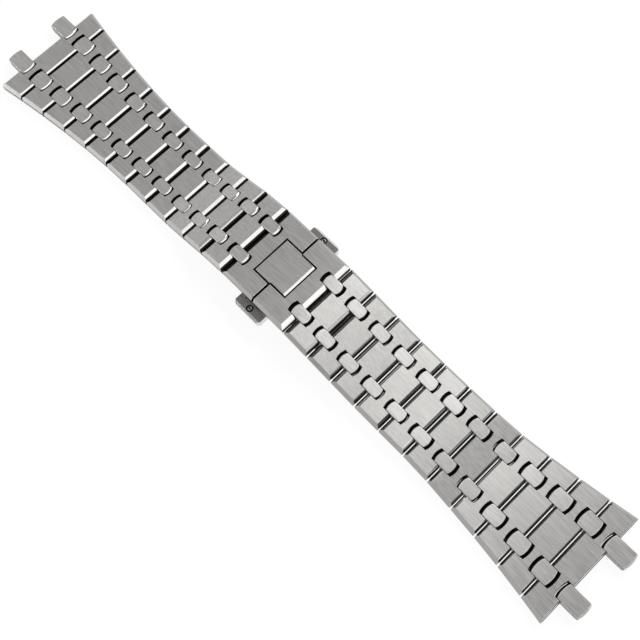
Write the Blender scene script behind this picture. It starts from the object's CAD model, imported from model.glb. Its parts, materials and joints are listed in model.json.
import json
import math

import bmesh
import bpy
from mathutils import Matrix, Vector

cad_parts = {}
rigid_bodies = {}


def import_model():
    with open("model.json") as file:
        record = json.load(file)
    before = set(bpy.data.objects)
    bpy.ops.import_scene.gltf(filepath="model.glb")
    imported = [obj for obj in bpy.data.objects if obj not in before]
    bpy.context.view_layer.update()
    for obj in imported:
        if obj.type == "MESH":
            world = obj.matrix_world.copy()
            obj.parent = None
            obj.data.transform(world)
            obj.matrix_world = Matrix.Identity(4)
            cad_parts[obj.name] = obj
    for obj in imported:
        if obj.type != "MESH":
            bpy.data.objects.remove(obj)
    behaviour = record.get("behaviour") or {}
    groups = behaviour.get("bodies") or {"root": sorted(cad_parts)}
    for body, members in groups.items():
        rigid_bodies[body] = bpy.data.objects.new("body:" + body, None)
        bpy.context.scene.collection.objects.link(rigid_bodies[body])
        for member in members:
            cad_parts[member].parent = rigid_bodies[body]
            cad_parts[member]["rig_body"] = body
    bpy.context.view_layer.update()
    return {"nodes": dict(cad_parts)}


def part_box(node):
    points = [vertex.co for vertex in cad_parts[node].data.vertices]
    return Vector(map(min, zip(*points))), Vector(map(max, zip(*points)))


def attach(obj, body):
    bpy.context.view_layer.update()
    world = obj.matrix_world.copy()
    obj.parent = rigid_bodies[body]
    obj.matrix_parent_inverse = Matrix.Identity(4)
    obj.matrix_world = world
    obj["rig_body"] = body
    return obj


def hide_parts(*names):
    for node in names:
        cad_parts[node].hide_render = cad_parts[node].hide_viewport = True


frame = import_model()
mm = 0.001
tiny = 1e-6     # metres; places closer than this are the same

# noiseReach is where the values of the noise mostly lie; reliefDepth is in metres
steelSet = {
    "noiseReach": (0.3, 0.7), "reliefDepth": 0.00001, "wearScale": (160, 420, 420), "wear": 0.02,
    "strokeDetail": 4, "strokeRough": 0.65, "wearDetail": 2, "markDetail": 5, "markRough": 0.7,
}


def newMaterial(name):
    mat = bpy.data.materials.new(name)
    mat.use_nodes = True
    return mat, mat.node_tree.nodes, mat.node_tree.links, mat.node_tree.nodes["Principled BSDF"]


def noise(nodes, links, scale, detail=3, rough=0.6):
    coords = nodes.new("ShaderNodeTexCoord")
    place = nodes.new("ShaderNodeMapping")
    place.inputs["Scale"].default_value = scale
    links.new(coords.outputs["Object"], place.inputs["Vector"])
    tex = nodes.new("ShaderNodeTexNoise")
    tex.inputs["Scale"].default_value = 1
    tex.inputs["Detail"].default_value = detail
    tex.inputs["Roughness"].default_value = rough
    links.new(place.outputs["Vector"], tex.inputs["Vector"])
    return tex.outputs["Fac"]


def spread(nodes, links, value, low, high):
    ramp = nodes.new("ShaderNodeMapRange")
    ramp.inputs["From Min"].default_value, ramp.inputs["From Max"].default_value = steelSet["noiseReach"]
    ramp.inputs["To Min"].default_value = low
    ramp.inputs["To Max"].default_value = high
    links.new(value, ramp.inputs["Value"])
    return ramp.outputs["Result"]


def tint(nodes, links, value, dark, light):
    ramp = nodes.new("ShaderNodeValToRGB")
    for element, place, colour in zip(ramp.color_ramp.elements, steelSet["noiseReach"], (dark, light)):
        element.position = place
        element.color = (*colour, 1)
    links.new(value, ramp.inputs["Fac"])
    return ramp.outputs["Color"]


def combine(nodes, links, operation, first, second):
    node = nodes.new("ShaderNodeMath")
    node.operation = operation
    for value, socket in zip((first, second), node.inputs):
        if isinstance(value, float):
            socket.default_value = value
        else:
            links.new(value, socket)
    return node.outputs[0]


def relief(nodes, links, height, strength, shader):
    bump = nodes.new("ShaderNodeBump")
    bump.inputs["Strength"].default_value = strength
    bump.inputs["Distance"].default_value = steelSet["reliefDepth"]
    links.new(height, bump.inputs["Height"])
    links.new(bump.outputs["Normal"], shader.inputs["Normal"])


def brushedSteel(name, look):
    # long fine strokes along the band, with faint broader wear under them
    mat, nodes, links, shader = newMaterial(name)
    strokes = noise(nodes, links, look["strokes"], steelSet["strokeDetail"], steelSet["strokeRough"])
    wear = noise(nodes, links, steelSet["wearScale"], steelSet["wearDetail"])
    links.new(tint(nodes, links, strokes, look["dark"], look["light"]), shader.inputs["Base Color"])
    gloss = spread(nodes, links, strokes, *look["rough"])
    worn = spread(nodes, links, wear, -steelSet["wear"], steelSet["wear"])
    links.new(combine(nodes, links, "ADD", gloss, worn), shader.inputs["Roughness"])
    relief(nodes, links, strokes, look["bump"], shader)
    shader.inputs["Metallic"].default_value = 1.0
    if look["stretch"]:
        # reflections spread across the strokes, which run along U
        shader.inputs["Anisotropic"].default_value = look["stretch"]
        shader.inputs["Anisotropic Rotation"].default_value = 0.25
        along = nodes.new("ShaderNodeTangent")
        along.direction_type = "UV_MAP"
        links.new(along.outputs["Tangent"], shader.inputs["Tangent"])
    return mat


def smoothSteel(name, look):
    # polished, satin or milled faces: faint handling marks in gloss and relief
    mat, nodes, links, shader = newMaterial(name)
    marks = noise(nodes, links, look["grain"], steelSet["markDetail"], steelSet["markRough"])
    links.new(tint(nodes, links, marks, look["dark"], look["light"]), shader.inputs["Base Color"])
    links.new(spread(nodes, links, marks, *look["rough"]), shader.inputs["Roughness"])
    relief(nodes, links, marks, look["bump"], shader)
    shader.inputs["Metallic"].default_value = 1.0
    return mat


finish = {
    "top": brushedSteel("brushedTop", {
        "strokes": (260, 3800, 3800), "dark": (0.50, 0.49, 0.477), "light": (0.73, 0.72, 0.70),
        "rough": (0.42, 0.56), "bump": 0.10, "stretch": 0.8}),
    "stud": brushedSteel("brushedStud", {
        "strokes": (260, 3800, 3800), "dark": (0.55, 0.54, 0.525), "light": (0.80, 0.79, 0.77),
        "rough": (0.42, 0.54), "bump": 0.10, "stretch": 0.8}),
    "slope": brushedSteel("satinSlope", {
        "strokes": (300, 3000, 3000), "dark": (0.37, 0.365, 0.355), "light": (0.42, 0.41, 0.40),
        "rough": (0.31, 0.35), "bump": 0.015, "stretch": 0}),
    "side": brushedSteel("satinSide", {
        "strokes": (350, 8000, 8000), "dark": (0.17, 0.167, 0.163), "light": (0.24, 0.236, 0.23),
        "rough": (0.32, 0.42), "bump": 0.05, "stretch": 0}),
    "under": brushedSteel("satinUnder", {
        "strokes": (350, 7000, 4000), "dark": (0.50, 0.49, 0.475), "light": (0.62, 0.61, 0.59),
        "rough": (0.34, 0.44), "bump": 0.08, "stretch": 0}),
    "bevel": smoothSteel("polishedBevel", {
        "grain": (900, 900, 900), "dark": (0.64, 0.63, 0.615), "light": (0.72, 0.71, 0.695),
        "rough": (0.10, 0.16), "bump": 0.03}),
    "inner": smoothSteel("milledInner", {
        "grain": (2500, 2500, 2500), "dark": (0.02, 0.02, 0.02), "light": (0.035, 0.035, 0.034),
        "rough": (0.45, 0.58), "bump": 0.12}),
    "pusher": smoothSteel("pusherSteel", {
        "grain": (700, 4000, 2000), "dark": (0.30, 0.297, 0.29), "light": (0.43, 0.425, 0.415),
        "rough": (0.20, 0.30), "bump": 0.04}),
    "pin": smoothSteel("pinSteel", {
        "grain": (1800, 1800, 1800), "dark": (0.46, 0.45, 0.43), "light": (0.58, 0.57, 0.55),
        "rough": (0.18, 0.28), "bump": 0.05}),
}
print("finishes made:", ", ".join(finish))

# angles in degrees; uvSize, weld and sortStep in metres
shaping = {
    "edgeAngle": 30, "smoothAngle": 50, "flatWeight": 90, "rodSides": 32, "uvSize": 0.01,
    "weld": 2e-6, "flatAngle": 1, "sortStep": 1e-9,
}


def leave():
    bpy.ops.object.mode_set(mode="OBJECT")


def makeActive(piece):
    if bpy.context.mode != "OBJECT":
        leave()
    bpy.ops.object.select_all(action="DESELECT")
    piece.select_set(True)
    bpy.context.view_layer.objects.active = piece


def edit(piece):
    makeActive(piece)
    bpy.ops.object.mode_set(mode="EDIT")


def pick(piece, kind, test):
    # selects the verts, edges or faces of the piece in edit mode that pass the test
    bpy.ops.mesh.select_mode(type=kind)
    bpy.ops.mesh.select_all(action="DESELECT")
    mesh = bmesh.from_edit_mesh(piece.data)
    for part in {"VERT": mesh.verts, "EDGE": mesh.edges, "FACE": mesh.faces}[kind]:
        if test(part):
            part.select_set(True)
    mesh.select_flush_mode()
    bmesh.update_edit_mesh(piece.data)


def bothEnds(edge, test):
    return all(test(v.co) for v in edge.verts)


def near(a, b):
    return abs(a - b) < tiny


def endsMatch(edge, axis):
    # true where the edge doesn't run along this axis: 0 for X, 1 for Y, 2 for Z
    return near(edge.verts[0].co[axis], edge.verts[1].co[axis])


def applyModifiers(piece):
    makeActive(piece)
    for modifier in list(piece.modifiers):
        bpy.ops.object.modifier_apply(modifier=modifier.name)


def settle(piece):
    # the edit-mode tools leave corners and faces in an order that changes from run to run, and cuts and
    # rounds depend on it a little, so the mesh is made again in order of place
    mesh = piece.data
    spots = [tuple(v.co) for v in mesh.vertices]
    order = sorted(range(len(spots)), key=lambda i: [round(c / shaping["sortStep"]) for c in spots[i]])
    rank = {old: new for new, old in enumerate(order)}
    rings = []
    for face in mesh.polygons:
        ring = [rank[i] for i in face.vertices]
        first = ring.index(min(ring))
        rings.append(ring[first:] + ring[:first])
    mesh.clear_geometry()
    mesh.from_pydata([spots[i] for i in order], [], sorted(rings))


def cutWith(piece, cutter):
    settle(piece)
    settle(cutter)
    cut = piece.modifiers.new("cut", "BOOLEAN")
    cut.operation = "DIFFERENCE"
    cut.solver = "EXACT"
    cut.object = cutter
    applyModifiers(piece)
    bpy.data.objects.remove(cutter)


def evenShading(piece):
    # the rounds are shaded smooth and the flats stay flat
    makeActive(piece)
    bpy.ops.object.shade_smooth_by_angle(angle=math.radians(shaping["smoothAngle"]))
    even = piece.modifiers.new("even", "WEIGHTED_NORMAL")
    even.mode = "FACE_AREA"
    even.weight = shaping["flatWeight"]
    even.keep_sharp = True
    applyModifiers(piece)


def roundEdges(piece, width, segments=2):
    settle(piece)
    soft = piece.modifiers.new("edges", "BEVEL")
    soft.width = width
    soft.segments = segments
    soft.limit_method = "ANGLE"
    soft.angle_limit = math.radians(shaping["edgeAngle"])
    soft.use_clamp_overlap = True
    applyModifiers(piece)
    evenShading(piece)


def block(name, low, high):
    # a cube primitive made to the two corners, in metres, and left in edit mode
    bpy.ops.object.select_all(action="DESELECT")
    middle = (Vector(low) + Vector(high)) / 2
    size = Vector(high) - Vector(low)
    bpy.ops.mesh.primitive_cube_add(size=1, location=(0, 0, 0))
    piece = bpy.context.active_object
    piece.name = name
    edit(piece)
    bpy.ops.mesh.select_all(action="SELECT")
    bpy.ops.transform.resize(value=tuple(size))
    bpy.ops.transform.translate(value=tuple(middle))
    return piece


def rod(name, radius, fromY, toY, x):
    # a round bar across the band
    bpy.ops.object.select_all(action="DESELECT")
    bpy.ops.mesh.primitive_cylinder_add(vertices=shaping["rodSides"], radius=radius, depth=toY - fromY,
                                        rotation=(math.radians(90), 0, 0), location=(x, (fromY + toY) / 2, 0))
    piece = bpy.context.active_object
    piece.name = name
    bpy.ops.object.transform_apply(location=True, rotation=True, scale=True)
    return piece


def joinAll(pieces, name):
    bpy.ops.object.select_all(action="DESELECT")
    for p in pieces:
        p.select_set(True)
    bpy.context.view_layer.objects.active = pieces[0]
    bpy.ops.object.join()
    pieces[0].name = name
    return pieces[0]


def faceFinish(piece, finishes, choose):
    # one material slot for each finish, then each face takes the slot that choose() names for it
    piece.data.materials.clear()
    for f in finishes:
        piece.data.materials.append(finish[f])
    for face in piece.data.polygons:
        face.material_index = finishes.index(choose(face))


def unwrap(piece):
    # box mapping: U runs along the band on the flat faces, which turns the brushing that way
    edit(piece)
    bpy.ops.mesh.select_all(action="SELECT")
    bpy.ops.uv.cube_project(cube_size=shaping["uvSize"])
    leave()


def copyTo(piece, name, place):
    bpy.ops.object.select_all(action="DESELECT")
    twin = piece.copy()
    twin.data = piece.data.copy()
    twin.name = name
    twin.data.name = name
    bpy.context.scene.collection.objects.link(twin)
    twin.data.transform(place)
    return twin


# sizes in mm, counted outwards from the clasp; tilt gives the degrees by which each link leans down
band = {
    "width": 19.35, "endWidth": 27.95, "straightGaps": 5, "flarePower": 1.7, "thick": 3.0,
    "gap": 0.4, "linkPins": 4.5, "studPins": 2.4, "endPins": 3.85, "endFace": 0.85, "links": 11,
    "claspHalf": 9.32,
    "tilt": {"a": [11, 21, 17, 3, 1, 0, 0, 0, 0, 0, 0], "b": [11, 12, 10, 5, 2, 4.5, 8, 0, 0, 0, 0]},
}
facePin = (band["studPins"] - band["gap"]) / 2      # from a pin to the cross face of its link


def gapWidth(k):
    share = max(0, k - band["straightGaps"]) / (band["links"] - band["straightGaps"])
    return band["width"] + (band["endWidth"] - band["width"]) * share ** band["flarePower"]


def widthAt(k, x):
    pitch = band["linkPins"] + band["studPins"]
    return gapWidth(k - 1) + (gapWidth(k) - gapWidth(k - 1)) * (x + band["studPins"] / 2) / pitch


def linkTilt(half, k):
    return 0 if k < 1 else band["tilt"][half][min(k, band["links"]) - 1]


def studTilt(half, k):
    return (linkTilt(half, k - 1) + linkTilt(half, k)) / 2


def linkSpan(k):
    return band["linkPins"] if k < band["links"] else band["endPins"]


def stepDown(at, tilt, length):
    t = math.radians(tilt)
    return at[0] + length * math.cos(t), at[1] - length * math.sin(t)


def layOut():
    # walks outwards over the pins; the surface is where the last end stud of half A lies
    climb = 0
    for k in range(1, band["links"] + 2):
        climb += band["studPins"] * math.sin(math.radians(studTilt("a", k)))
        if k <= band["links"]:
            climb += linkSpan(k) * math.sin(math.radians(linkTilt("a", k)))
    pinHeight = climb + band["thick"] / 2
    places = {}
    for half in "ab":
        at = (band["claspHalf"] - band["studPins"] / 2, pinHeight)
        for k in range(1, band["links"] + 2):
            places["studs", half, k] = (at, studTilt(half, k))
            at = stepDown(at, studTilt(half, k), band["studPins"])
            if k <= band["links"]:
                places["link", half, k] = (at, linkTilt(half, k))
                at = stepDown(at, linkTilt(half, k), linkSpan(k))
    return places, pinHeight


places, pinHeight = layOut()
print("clasp pins at height", round(pinHeight, 3), "mm")


def placing(half, at, tilt):
    # a piece is made with its inner pin at the origin and +X outwards; half A is turned round to face -X
    matrix = Matrix.Translation((at[0] * mm, 0, at[1] * mm)) @ Matrix.Rotation(math.radians(tilt), 4, "Y")
    return matrix if half == "b" else Matrix.Rotation(math.pi, 4, "Z") @ matrix


# how far a face's normal leans for each finish; sideDepth, in mm, is how far in the long sides reach
facing = {
    "flat": 0.93, "level": 0.9, "bevel": 0.69, "sideways": 0.6, "slope": 0.2, "under": -0.3,
    "sideDepth": 1.2,
}

# a stud joins two links; bow is the depth of its arced ends, over is how far it reaches past its pins
stud = {
    "width": 2.62, "y": 4.5, "over": 1.15, "bow": 0.3,
    "notchGap": 0.4, "notchSide": 0.08, "endOver": 0.75, "reach": 4.7, "tipWidth": 3.8,
    "rim": 0.4, "rimReach": 1.05, "edge": 0.08, "caseBore": 0.6, "caseBoreTip": 1.55, "endCuts": 9,
}


def flare(k):
    return gapWidth(min(k, band["links"])) / band["width"]


def studWidth(k):
    return stud["width"] * flare(k)


def studY(k):
    return stud["y"] * flare(k)


def bowedBar(name, x0, x1, w0, w1, thick, ends=(True, True)):
    # bar along X with a straight or widening plan and arced ends
    half, bow = thick / 2, stud["bow"]
    piece = block(name, (x0 * mm, -w1 / 2 * mm, -half * mm), (x1 * mm, w1 / 2 * mm, half * mm))
    pick(piece, "VERT", lambda v: near(v.co.x, x0 * mm))
    bpy.ops.transform.resize(value=(1, w0 / w1, 1), center_override=(0, 0, 0))
    pick(piece, "EDGE", lambda e: endsMatch(e, 2) and (bothEnds(e, lambda c: near(c.x, x0 * mm))
                                                       or bothEnds(e, lambda c: near(c.x, x1 * mm))))
    bpy.ops.mesh.subdivide(number_cuts=stud["endCuts"])
    for x, w, outwards, arced in ((x0, w0, -1, ends[0]), (x1, w1, 1, ends[1])):
        if not arced:
            continue
        radius = (w * w / 4 + bow * bow) / (2 * bow)
        steps = (stud["endCuts"] + 1) // 2
        for i in range(1, steps + 1):
            y = w / 2 * i / steps
            drop = radius - math.sqrt(radius * radius - y * y)
            pick(piece, "VERT", lambda v: near(v.co.x, x * mm) and near(abs(v.co.y), y * mm))
            bpy.ops.transform.translate(value=(-outwards * drop * mm, 0, 0))
    return piece


def studFinish(face):
    lean = abs(face.normal.z)
    if lean > facing["level"]:
        return "stud"
    return "bevel" if lean > facing["slope"] else "side"


def makeStud(k):
    last = k > band["links"]
    w = studWidth(k)
    if last:
        x0, x1, w1 = -stud["endOver"], band["endFace"] + stud["reach"], stud["tipWidth"]
    else:
        x0, x1, w1 = -stud["over"], band["studPins"] + stud["over"], w
    piece = bowedBar(f"stud{k}", x0, x1, w, w1, band["thick"])
    # polished rim round both bowed ends
    high = band["thick"] / 2 * mm
    inner = stud["bow"] * mm * stud["rimReach"]
    for low, up in ((x0 * mm, x0 * mm + inner), (x1 * mm - inner, x1 * mm)):
        pick(piece, "EDGE", lambda e: bothEnds(e, lambda c: low - tiny <= c.x <= up + tiny)
             and (bothEnds(e, lambda c: near(c.z, high)) or bothEnds(e, lambda c: near(c.z, -high)))
             and not endsMatch(e, 1))
        bpy.ops.mesh.bevel(offset=stud["rim"] * mm, segments=1, affect="EDGES")
    leave()
    if last:
        cutWith(piece, rod("hole", stud["caseBore"] * mm, -w * mm, w * mm, (x1 - stud["caseBoreTip"]) * mm))
    roundEdges(piece, stud["edge"] * mm)
    unwrap(piece)
    faceFinish(piece, ["stud", "bevel", "side"], studFinish)
    return piece


studs = {k: makeStud(k) for k in range(1, band["links"] + 2)}
for (kind, half, k), (at, tilt) in places.items():
    if kind != "studs":
        continue
    node = f"studs_{half}{k:02d}"
    for side, word in ((-1, "left"), (1, "right")):
        place = placing(half, at, tilt) @ Matrix.Translation((0, side * studY(k) * mm, 0))
        piece = copyTo(studs[k], f"{node}_{word}", place)
        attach(piece, node)
        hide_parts(node)
for piece in studs.values():
    bpy.data.objects.remove(piece)
print("studs placed")

# lips under the notches and tongues between the links hide most of the floor below
link = {
    "crossBevel": 0.9, "endCrossBevel": 0.45, "underBevel": 0.7, "sideBevel": 0.65, "sideDrop": 0.95,
    "lowerSide": 0.4, "edge": 0.08, "pin": 0.45, "pinHole": 0.465, "pinShort": 0.65, "pinDome": 0.08,
    "pinDomeSteps": 3, "pinInside": 1.9, "holeInside": 2, "past": 1,
    "lip": 0.42, "endLip": 0.32, "lipThick": 0.25, "crown": 0.27, "crownSteps": 3,
    "tongue": 0.1, "tongueIn": 0.3, "tongueThick": 0.24, "tongueClear": 0.1,
}


def crossBevel(k):
    share = (min(k, band["links"]) - 1) / (band["links"] - 1)
    return link["crossBevel"] + (link["endCrossBevel"] - link["crossBevel"]) * share


def sideSlopes(x0, x1, w0, w1):
    # slices the long slopes off both sides of the piece in edit mode, above and below
    high = band["thick"] / 2
    slant = math.atan2((w1 - w0) / 2, x1 - x0)
    bpy.ops.mesh.select_mode(type="FACE")
    for side in (-1, 1):
        out = Vector((-math.sin(slant), side * math.cos(slant), 0))
        for up, inset in ((1, link["sideBevel"]), (-1, link["lowerSide"])):
            normal = out * link["sideDrop"] + Vector((0, 0, up * inset))
            point = Vector((x0, side * w0 / 2, up * (high - link["sideDrop"]))) * mm
            bpy.ops.mesh.select_all(action="SELECT")
            bpy.ops.mesh.bisect(plane_co=tuple(point), plane_no=tuple(normal.normalized()),
                                use_fill=True, clear_outer=True)


def bandFinish(face, widthHere):
    # brushed flats, polished cross bevels, satin long sides, and dark walls inside the gaps and notches
    normal, centre = face.normal, face.center
    if normal.z > facing["flat"]:
        return "top" if centre.z > 0 else "inner"
    if normal.z < facing["under"]:
        return "under"
    if abs(centre.y) > (widthHere / 2 - facing["sideDepth"]) * mm and abs(normal.y) > facing["sideways"]:
        return "slope" if normal.z > facing["slope"] else "side"
    return "bevel" if normal.z > facing["bevel"] else "inner"


def makeLink(k):
    last = k == band["links"]
    x0, span = -facePin, linkSpan(k)
    x1 = span + (band["endFace"] if last else facePin)
    w0, w1 = widthAt(k, x0), widthAt(k, x1)
    high = band["thick"] / 2
    piece = block(f"link{k}", (x0 * mm, -w1 / 2 * mm, -high * mm), (x1 * mm, w1 / 2 * mm, high * mm))
    pick(piece, "VERT", lambda v: near(v.co.x, x0 * mm))
    bpy.ops.transform.resize(value=(1, w0 / w1, 1), center_override=(0, 0, 0))
    # the upper bevels are a little crowned by the polishing
    steps, crown = link["crownSteps"], link["crown"]
    for x, z, width, segments in ((x0, high, crossBevel(k), steps), (x1, high, crossBevel(k + 1), steps),
                                  (x0, -high, link["underBevel"], 1), (x1, -high, link["underBevel"], 1)):
        pick(piece, "EDGE", lambda e: bothEnds(e, lambda c: near(c.z, z * mm) and near(c.x, x * mm)))
        bpy.ops.mesh.bevel(offset=width * mm, segments=segments, profile=crown, affect="EDGES")
    sideSlopes(x0, x1, w0, w1)
    leave()
    # notches for the studs on both cross edges: cut right through first, then deeper down to a thin lip
    over = stud["endOver"] if last else stud["over"]
    outerLip = link["endLip"] if last else link["lip"]
    cutHigh = 2 * band["thick"]
    for share, lift in ((1, 0), (0, link["lipThick"] + high)):
        innerEnd = stud["over"] + (stud["notchGap"] - share * link["lip"])
        outerEnd = span - over - (stud["notchGap"] - share * outerLip)
        cutters = []
        for side in (-1, 1):
            for gap, low, up, ends in ((k, x0 - link["past"], innerEnd, (False, True)),
                                       (k + 1, outerEnd, x1 + link["past"], (True, False))):
                w = studWidth(gap) + 2 * stud["notchSide"]
                notch = bowedBar("notch", low, up, w, w, cutHigh, ends)
                leave()
                notch.data.transform(Matrix.Translation((0, side * studY(gap) * mm, lift * mm)))
                cutters.append(notch)
        cutWith(piece, joinAll(cutters, "notches"))
    return piece


def makeTongues(k):
    # thin tongues at the height of the pins narrow the gaps from link to link
    bars = []
    high = link["tongueThick"] / 2
    edges = [(-facePin, -1, k)]
    if k < band["links"]:
        edges.append((linkSpan(k) + facePin, 1, k + 1))
    for face, outwards, gap in edges:
        clear = studWidth(gap) / 2 + stud["notchSide"] + link["tongueClear"]
        middle = studY(gap) - clear
        inside, outside = studY(gap) + clear, widthAt(k, face) / 2 - link["sideBevel"]
        x0, x1 = sorted((face - outwards * link["tongueIn"], face + outwards * link["tongue"]))
        for y0, y1 in ((-middle, middle), (inside, outside), (-outside, -inside)):
            bar = block("tongue", (x0 * mm, y0 * mm, -high * mm), (x1 * mm, y1 * mm, high * mm))
            leave()
            unwrap(bar)
            faceFinish(bar, ["inner"], lambda face: "inner")
            bars.append(bar)
    return bars


def addPinEnds(piece, half, k):
    # the pins show on the far side only, a little short of the end of their bores
    side = 1 if half == "b" else -1     # half A is turned round, so its far side is -Y before placing
    holes, ends = [], []
    for x in (0, linkSpan(k)):
        w = widthAt(k, x) / 2
        low, high = sorted((side * (w - link["holeInside"]) * mm, side * (w + link["past"]) * mm))
        holes.append(rod("hole", link["pinHole"] * mm, low, high, x * mm))
        low, high = sorted((side * (w - link["pinInside"]) * mm, side * (w - link["pinShort"]) * mm))
        end = rod("pin", link["pin"] * mm, low, high, x * mm)
        roundEdges(end, link["pinDome"] * mm, link["pinDomeSteps"])
        unwrap(end)
        faceFinish(end, ["pin"], lambda face: "pin")
        ends.append(end)
    cutWith(piece, joinAll(holes, "holes"))
    roundEdges(piece, link["edge"] * mm)
    unwrap(piece)
    faceFinish(piece, ["top", "bevel", "slope", "side", "inner", "under"],
               lambda face: bandFinish(face, widthAt(k, face.center.x / mm)))
    return joinAll([piece, *ends, *makeTongues(k)], piece.name)


links = {k: makeLink(k) for k in range(1, band["links"] + 1)}
for (kind, half, k), (at, tilt) in places.items():
    if kind != "link":
        continue
    node = f"link_{half}{k:02d}"
    piece = addPinEnds(copyTo(links[k], f"{node}_detailed", Matrix.Identity(4)), half, k)
    piece.data.transform(placing(half, at, tilt))
    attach(piece, node)
    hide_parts(node)
for piece in links.values():
    bpy.data.objects.remove(piece)
print("links placed")

# slot and groove belong to the small pin on top of each pusher; pieces gives each node its material slot
clasp = {
    "edge": 0.1, "pinY": 10.695, "slotWide": 0.24, "slotDeep": 0.3, "slotShare": 0.9,
    "groove": 0.64, "grooveWide": 0.36, "grooveSteps": (48, 12), "grooveSlack": 0.05,
    "pinDeep": 0.1, "shadeDeep": 0.5,
    "pieces": {
        "cover_a": "brushed_steel", "cover_b": "brushed_steel", "emblem_plate": "brushed_steel",
        "arm_a": "satin_steel", "arm_b": "satin_steel", "clasp_base": "satin_steel",
        "pusher_left": "pusher_steel", "pusher_right": "pusher_steel",
    },
}


def workUp(node, width, cutter=None):
    # a copy of the CAD shape, cleaned to flat faces, with small rounds along its edges
    piece = copyTo(frame["nodes"][node], f"{node}_detailed", Matrix.Identity(4))
    piece.parent = None
    for key in list(piece.keys()):
        del piece[key]
    edit(piece)
    bpy.ops.mesh.select_all(action="SELECT")
    bpy.ops.mesh.remove_doubles(threshold=shaping["weld"])
    if cutter:
        leave()
        cutWith(piece, cutter)
        edit(piece)
    bpy.ops.mesh.select_all(action="SELECT")
    bpy.ops.mesh.dissolve_limited(angle_limit=math.radians(shaping["flatAngle"]))
    leave()
    roundEdges(piece, width * mm)
    unwrap(piece)
    return piece


def pinSlot(side, top):
    # cuts a driver slot into the small pin on top of a pusher and a groove round it
    reach = (clasp["groove"] - clasp["grooveWide"] / 2) * clasp["slotShare"]
    y = side * clasp["pinY"]
    slot = block("slot", (-reach * mm, (y - clasp["slotWide"] / 2) * mm, top - clasp["slotDeep"] * mm),
                 (reach * mm, (y + clasp["slotWide"] / 2) * mm, top + mm))
    leave()
    bpy.ops.object.select_all(action="DESELECT")
    around, across = clasp["grooveSteps"]
    bpy.ops.mesh.primitive_torus_add(major_radius=clasp["groove"] * mm, major_segments=around,
                                     minor_radius=clasp["grooveWide"] / 2 * mm, minor_segments=across,
                                     location=(0, y * mm, top))
    groove = bpy.context.active_object
    bpy.ops.object.transform_apply(location=True, rotation=True, scale=True)
    return joinAll([slot, groove], "pinCuts")


def pusherFinish(face, side, top):
    # the groove round the pin and the slot lie in shade; the pusher's own top is larger than their circle
    centre, up = face.center, face.normal.z
    small = face.area < math.pi * (clasp["groove"] * mm) ** 2
    fromPin = math.hypot(centre.x, centre.y - side * clasp["pinY"] * mm)
    reach = (clasp["groove"] + clasp["grooveWide"] / 2 + clasp["grooveSlack"]) * mm
    if small and fromPin < reach and centre.z > top - clasp["shadeDeep"] * mm:
        return "pin" if up > facing["flat"] and centre.z > top - clasp["pinDeep"] * mm else "inner"
    return "pusher" if abs(up) > facing["level"] else "bevel"


for node, slot in clasp["pieces"].items():
    if node.startswith("pusher"):
        side = 1 if node == "pusher_right" else -1
        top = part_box(node)[1][2]
        piece = workUp(node, clasp["edge"], pinSlot(side, top))
        faceFinish(piece, ["pusher", "bevel", "pin", "inner"], lambda face: pusherFinish(face, side, top))
    else:
        piece = workUp(node, clasp["edge"])
        faceFinish(piece, ["top", "bevel", "slope", "side", "inner", "under"],
                   lambda face: bandFinish(face, band["width"]))
    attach(piece, frame["nodes"][node]["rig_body"])
    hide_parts(node)
print("clasp worked up")

# radius is that of the coil, wire that of the wire; from and to are its ends along Y
spring = {"turns": 9, "radius": 0.48, "wire": 0.12, "wireSides": 10, "turnSteps": 24, "from": 1.05, "to": 3.9}


def makeSprings():
    # a wound wire in each end of the housing
    low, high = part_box("pusher_springs")
    middle = ((low[0] + high[0]) / 2, (low[2] + high[2]) / 2)
    length = (spring["to"] - spring["from"] - 2 * spring["wire"]) * mm
    bpy.ops.object.select_all(action="DESELECT")
    bpy.ops.mesh.primitive_circle_add(vertices=spring["wireSides"], radius=spring["wire"] * mm,
                                      fill_type="NOTHING", rotation=(math.radians(90), 0, 0),
                                      location=(spring["radius"] * mm, 0, 0))
    coil = bpy.context.active_object
    bpy.ops.object.transform_apply(location=True, rotation=True, scale=True)
    wind = coil.modifiers.new("wind", "SCREW")
    wind.axis = "Z"
    wind.angle = math.radians(360)
    wind.screw_offset = length / spring["turns"]
    wind.iterations = spring["turns"]
    wind.steps = wind.render_steps = spring["turnSteps"]
    wind.use_normal_calculate = True
    wind.use_merge_vertices = True
    applyModifiers(coil)
    # the open ends of the wire are closed
    edit(coil)
    bpy.ops.mesh.select_mode(type="EDGE")
    bpy.ops.mesh.select_all(action="DESELECT")
    bpy.ops.mesh.select_non_manifold()
    bpy.ops.mesh.edge_face_add()
    bpy.ops.mesh.select_all(action="SELECT")
    bpy.ops.mesh.normals_make_consistent(inside=False)
    leave()
    bpy.ops.object.shade_smooth_by_angle(angle=math.radians(shaping["smoothAngle"]))
    unwrap(coil)
    faceFinish(coil, ["pin"], lambda face: "pin")
    for side, word in ((-1, "left"), (1, "right")):
        place = (Matrix.Translation((middle[0], side * (spring["from"] + spring["wire"]) * mm, middle[1]))
                 @ Matrix.Rotation(-side * math.radians(90), 4, "X"))
        piece = copyTo(coil, f"pusher_spring_{word}", place)
        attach(piece, frame["nodes"]["pusher_springs"]["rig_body"])
        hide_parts("pusher_springs")
    bpy.data.objects.remove(coil)


makeSprings()
for node in ("base_pins", "cover_pin_a", "cover_pin_b", "emblem_screws", "pusher_stops"):
    shown = frame["nodes"][node]
    shown.data.materials.clear()
    shown.data.materials.append(finish["pin"])
print("springs and pins placed")

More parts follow.
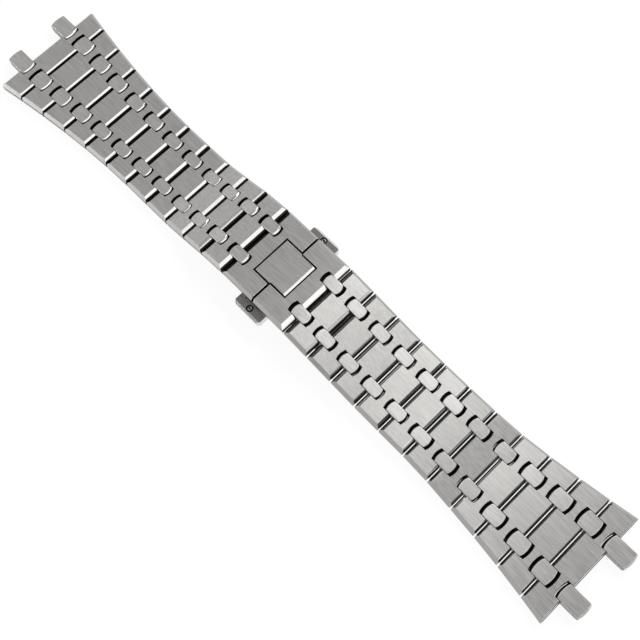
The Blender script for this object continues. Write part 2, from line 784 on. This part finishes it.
# place in mm and turn in degrees
cameraSet = {"lens": 55.922, "at": (69.044, -38.910, 198.887), "turn": (18.9698, 3.8303, 46.1209),
             "sensor": 36, "near": 0.01, "far": 20}
cameraData = bpy.data.cameras.new("photoCamera")
cameraData.lens = cameraSet["lens"]
cameraData.sensor_width = cameraSet["sensor"]
cameraData.clip_start = cameraSet["near"]
cameraData.clip_end = cameraSet["far"]
camera = bpy.data.objects.new("photoCamera", cameraData)
camera.location = Vector(cameraSet["at"]) * mm
camera.rotation_euler = [math.radians(a) for a in cameraSet["turn"]]
bpy.context.scene.collection.objects.link(camera)
bpy.context.scene.camera = camera

# sky gives the grey of the sky from the horizon, at 0, to straight overhead, at 1
stageSet = {
    "floorSize": 4.0, "floorZ": -0.00012, "floorColour": (0.82, 0.82, 0.82), "floorShade": 0.985,
    "floorGrain": (40, 40, 40), "floorRough": 0.9, "floorGloss": 0.1, "white": 1.1, "whiteShare": 0.82,
    "sky": {0.0: 0.03, 0.2: 0.05, 0.32: 0.95, 0.45: 0.82, 0.62: 0.50, 0.93: 0.47, 0.965: 0.05, 1.0: 0.05},
    "skyLight": 1.0,
}


def makeFloor():
    bpy.ops.object.select_all(action="DESELECT")
    bpy.ops.mesh.primitive_plane_add(size=stageSet["floorSize"], location=(0, 0, stageSet["floorZ"]))
    floor = bpy.context.active_object
    floor.name = "floor"
    mat, nodes, links, shader = newMaterial("paleFloor")
    grain = noise(nodes, links, stageSet["floorGrain"])
    pale = stageSet["floorColour"]
    shaded = [c * stageSet["floorShade"] for c in pale]
    links.new(tint(nodes, links, grain, shaded, pale), shader.inputs["Base Color"])
    shader.inputs["Roughness"].default_value = stageSet["floorRough"]
    shader.inputs["Specular IOR Level"].default_value = stageSet["floorGloss"]
    # the camera and the reflections see mostly white, with the shadow faintly in it
    rays = nodes.new("ShaderNodeLightPath").outputs
    mirrored = combine(nodes, links, "MAXIMUM", rays["Is Glossy Ray"], rays["Is Transmission Ray"])
    seen = combine(nodes, links, "MAXIMUM", rays["Is Camera Ray"], mirrored)
    share = combine(nodes, links, "MULTIPLY", seen, stageSet["whiteShare"])
    glow = nodes.new("ShaderNodeEmission")
    glow.inputs["Strength"].default_value = stageSet["white"]
    mix = nodes.new("ShaderNodeMixShader")
    links.new(share, mix.inputs["Fac"])
    links.new(shader.outputs[0], mix.inputs[1])
    links.new(glow.outputs[0], mix.inputs[2])
    links.new(mix.outputs[0], nodes["Material Output"].inputs["Surface"])
    floor.data.materials.append(mat)


def makeSky():
    # white low down and greyer overhead, as in a light tent with a dark opening at the top
    world = bpy.data.worlds.new("studio")
    bpy.context.scene.world = world
    world.use_nodes = True
    nodes, links = world.node_tree.nodes, world.node_tree.links
    coords = nodes.new("ShaderNodeTexCoord")
    parts = nodes.new("ShaderNodeSeparateXYZ")
    links.new(coords.outputs["Generated"], parts.inputs[0])
    ramp = nodes.new("ShaderNodeValToRGB")
    stops = list(stageSet["sky"].items())
    for place, level in stops[1:-1]:
        ramp.color_ramp.elements.new(place)
    for element, (place, level) in zip(ramp.color_ramp.elements, stops):
        element.position = place
        element.color = (level, level, level, 1)
    links.new(parts.outputs["Z"], ramp.inputs["Fac"])
    links.new(ramp.outputs["Color"], nodes["Background"].inputs["Color"])
    nodes["Background"].inputs["Strength"].default_value = stageSet["skyLight"]
    # the camera itself sees plain white past the floor
    white = nodes.new("ShaderNodeBackground")
    white.inputs["Color"].default_value = (1, 1, 1, 1)
    path = nodes.new("ShaderNodeLightPath")
    mix = nodes.new("ShaderNodeMixShader")
    links.new(path.outputs["Is Camera Ray"], mix.inputs["Fac"])
    links.new(nodes["Background"].outputs[0], mix.inputs[1])
    links.new(white.outputs[0], mix.inputs[2])
    links.new(mix.outputs[0], nodes["World Output"].inputs["Surface"])


# level is a lamp's brightness, so a larger lamp isn't a dimmer one
lamps = {
    "overClasp": {"at": (0.017, 0.19, 0.225), "aim": (0.017, 0.19, 0), "size": (0.09, 0.20), "level": 5.3},
    "sideBox": {"at": (0.655, 0.13, 0.745), "aim": (0, 0, 0), "size": (0.7, 0.67), "level": 0.9},
    "lowRight": {"at": (0.93, 0.20, 0.29), "aim": (0, 0, 0), "size": (0.5, 0.18), "level": 0.75},
    "lowLeft": {"at": (-0.60, -0.78, 0.075), "aim": (0, 0, 0), "size": (0.5, 0.14), "level": 8.5},
    "lowFront": {"at": (-0.32, -0.90, 0.13), "aim": (0, 0, 0), "size": (0.26, 0.2), "level": 0.32},
}


def makeLamp(name, lamp):
    data = bpy.data.lights.new(name, "AREA")
    data.shape = "RECTANGLE"
    data.size, data.size_y = lamp["size"]
    data.energy = lamp["level"] * math.pi * data.size * data.size_y
    lampObject = bpy.data.objects.new(name, data)
    lampObject.location = lamp["at"]
    lampObject.rotation_euler = (Vector(lamp["aim"]) - Vector(lamp["at"])).to_track_quat("-Z", "Y").to_euler()
    bpy.context.scene.collection.objects.link(lampObject)


makeFloor()
makeSky()
for name, lamp in lamps.items():
    makeLamp(name, lamp)
bpy.context.scene.view_settings.view_transform = "Standard"
print("stage set")
